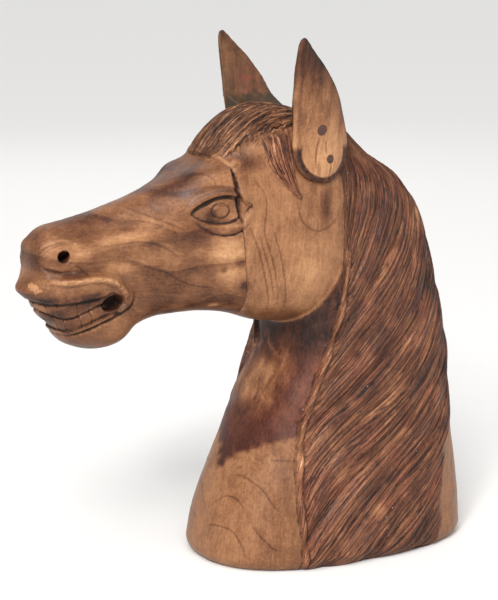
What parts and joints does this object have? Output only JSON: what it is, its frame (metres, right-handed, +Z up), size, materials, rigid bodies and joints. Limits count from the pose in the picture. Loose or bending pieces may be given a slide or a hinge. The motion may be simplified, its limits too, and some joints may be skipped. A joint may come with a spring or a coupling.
{
  "type": "driftwood horse head sculpture",
  "caption": "Carved wooden bust of a horse's head with parted lips, pegged ears and a combed mane, standing on its own flat neck.",
  "frame": {"origin": "middle of the flat underside of the neck", "axes": "+Z up, from the underside to the tips of the ears; the horse looks along -X; its left side, the one in the picture, faces -Y"},
  "size_m": [0.4416, 0.1862, 0.48],
  "materials": {
    "heartwood": "oiled, satin, brown with swirling grain",
    "sapwood": "oiled, satin, tan to dark brown with upright grain",
    "darkwood": "end grain, near black"
  },
  "bodies": {
    "root": {"neck_block": "sapwood", "face_block": "heartwood", "ear_left": "sapwood", "ear_right": "sapwood", "ear_left_dowel_upper": "darkwood", "ear_left_dowel_lower": "darkwood", "ear_right_dowel_upper": "darkwood", "ear_right_dowel_lower": "darkwood"}
  },
  "joints": []
}
